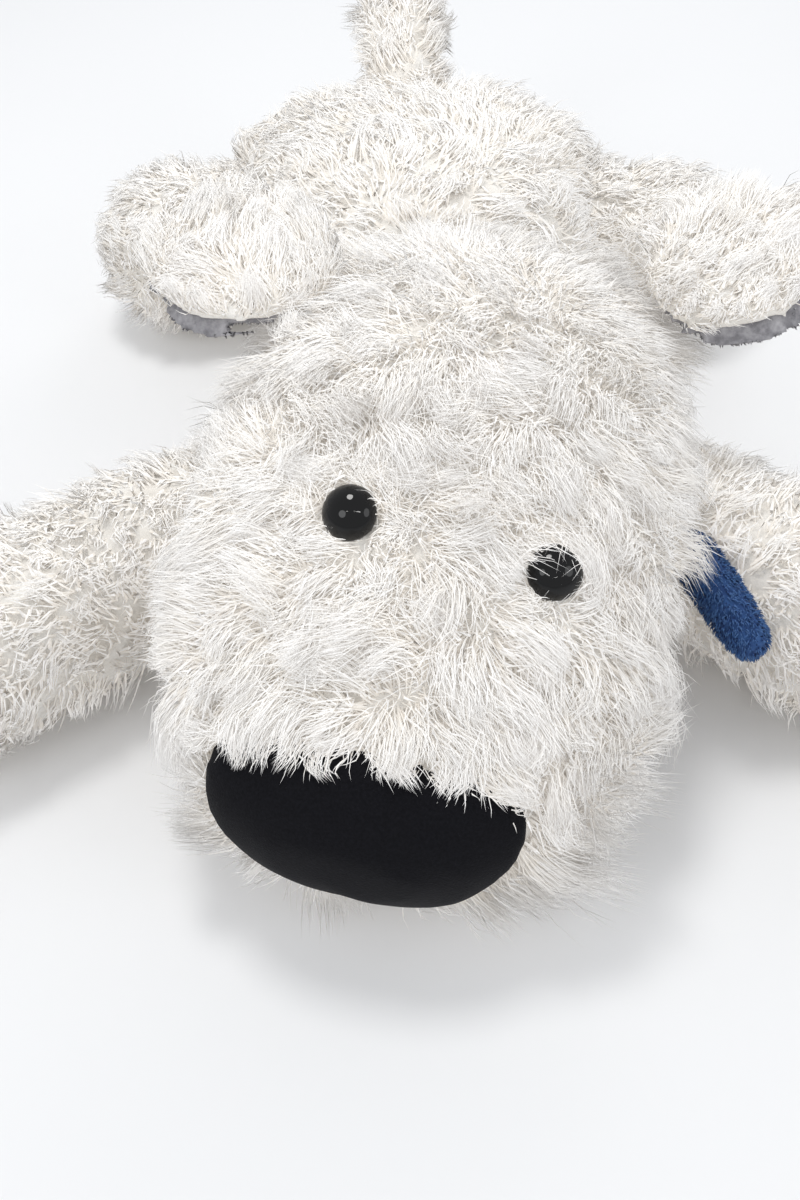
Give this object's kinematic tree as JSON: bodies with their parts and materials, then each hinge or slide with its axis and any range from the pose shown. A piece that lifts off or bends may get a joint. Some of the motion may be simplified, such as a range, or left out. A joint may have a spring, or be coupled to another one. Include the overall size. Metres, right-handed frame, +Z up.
{
  "type": "plush dog lying down",
  "caption": "Long-haired stuffed toy dog lying flat on its belly, with a black velvet nose, domed eyes, lined ears, splayed legs, a tail and a blue tied scarf.",
  "frame": {"origin": "on the floor, under the centre of the whole toy", "axes": "+Z up, the dog faces -Y, its own left side is +X"},
  "size_m": [0.4508, 0.5032, 0.1597],
  "materials": {
    "ivory_fur": "long-pile faux fur, ivory with bright tips",
    "belly_pile": "short-pile knit",
    "polyester_filling": "loose polyester wadding",
    "pouch_cloth": "thin plain woven cloth",
    "plastic_pellets": "small rounded pellets, poured",
    "black_velvet": "short black velvet",
    "black_eye": "polished black moulding",
    "washer_plastic": "natural moulded",
    "grey_pile": "short grey pile",
    "navy_plush": "short blue plush"
  },
  "bodies": {
    "torso": {"torso_back_shell": "ivory_fur", "torso_belly_panel": "belly_pile", "torso_filling": "polyester_filling", "pellet_pouch": "pouch_cloth", "pellet_fill": "plastic_pellets", "scarf_band": "navy_plush", "scarf_knot": "navy_plush", "scarf_short_end": "navy_plush"},
    "neck": {"neck_shell": "ivory_fur", "neck_filling": "polyester_filling"},
    "head": {"head_shell": "ivory_fur", "chin_panel": "ivory_fur", "head_filling": "polyester_filling", "nose_cover": "black_velvet", "nose_filling": "polyester_filling", "eye_right": "black_eye", "eye_left": "black_eye", "eye_washer_right": "washer_plastic", "eye_washer_left": "washer_plastic"},
    "ear_right": {"ear_right_outer": "ivory_fur", "ear_right_lining": "grey_pile"},
    "ear_left": {"ear_left_outer": "ivory_fur", "ear_left_lining": "grey_pile"},
    "scarf_end": {"scarf_long_end": "navy_plush"},
    "front_leg_right": {"front_leg_right_shell": "ivory_fur", "front_leg_right_filling": "polyester_filling"},
    "front_leg_left": {"front_leg_left_shell": "ivory_fur", "front_leg_left_filling": "polyester_filling"},
    "rear_leg_right": {"rear_leg_right_shell": "ivory_fur", "rear_leg_right_filling": "polyester_filling"},
    "rear_leg_left": {"rear_leg_left_shell": "ivory_fur", "rear_leg_left_filling": "polyester_filling"},
    "tail": {"tail_shell": "ivory_fur", "tail_filling": "polyester_filling"}
  },
  "joints": [
    {"name": "head_turn", "type": "hinge", "parent": "torso", "child": "neck", "pos_m": [0.0135, -0.0405, 0.07], "axis": [0, 0, 1], "range_deg": [-8, 3]},
    {"name": "head_nod", "type": "hinge", "parent": "neck", "child": "head", "pos_m": [0.0135, -0.0405, 0.07], "axis": [-0.9781, 0.2079, 0], "range_deg": [0, 14]},
    {"name": "ear_right_flap", "type": "hinge", "parent": "head", "child": "ear_right", "pos_m": [-0.04166, -0.05945, 0.13861], "axis": [-0.1559, -0.9239, -0.3494], "range_deg": [-15, 20], "stiffness_Nm_per_rad": 0.06},
    {"name": "ear_left_flap", "type": "hinge", "parent": "head", "child": "ear_left", "pos_m": [0.07439, -0.06367, 0.12658], "axis": [-0.4798, 0.7693, 0.4218], "range_deg": [-15, 20], "stiffness_Nm_per_rad": 0.06},
    {"name": "scarf_end_swing", "type": "hinge", "parent": "torso", "child": "scarf_end", "pos_m": [0.0495, -0.1105, 0.054], "axis": [0, 0, 1], "range_deg": [-7, 2]},
    {"name": "front_leg_right_swing", "type": "hinge", "parent": "torso", "child": "front_leg_right", "pos_m": [-0.0605, -0.0585, 0.037], "axis": [0, 0, 1], "range_deg": [-45, 3]},
    {"name": "front_leg_left_swing", "type": "hinge", "parent": "torso", "child": "front_leg_left", "pos_m": [0.0635, -0.0585, 0.037], "axis": [0, 0, 1], "range_deg": [0, 45]},
    {"name": "rear_leg_right_swing", "type": "hinge", "parent": "torso", "child": "rear_leg_right", "pos_m": [-0.1035, 0.1295, 0.041], "axis": [0, 0, 1], "range_deg": [-15, 12]},
    {"name": "rear_leg_left_swing", "type": "hinge", "parent": "torso", "child": "rear_leg_left", "pos_m": [0.0725, 0.1295, 0.041], "axis": [0, 0, 1], "range_deg": [-12, 15]},
    {"name": "tail_wag", "type": "hinge", "parent": "torso", "child": "tail", "pos_m": [-0.0245, 0.1835, 0.1], "axis": [0, 0, 1], "range_deg": [-30, 30], "stiffness_Nm_per_rad": 0.08}
  ]
}
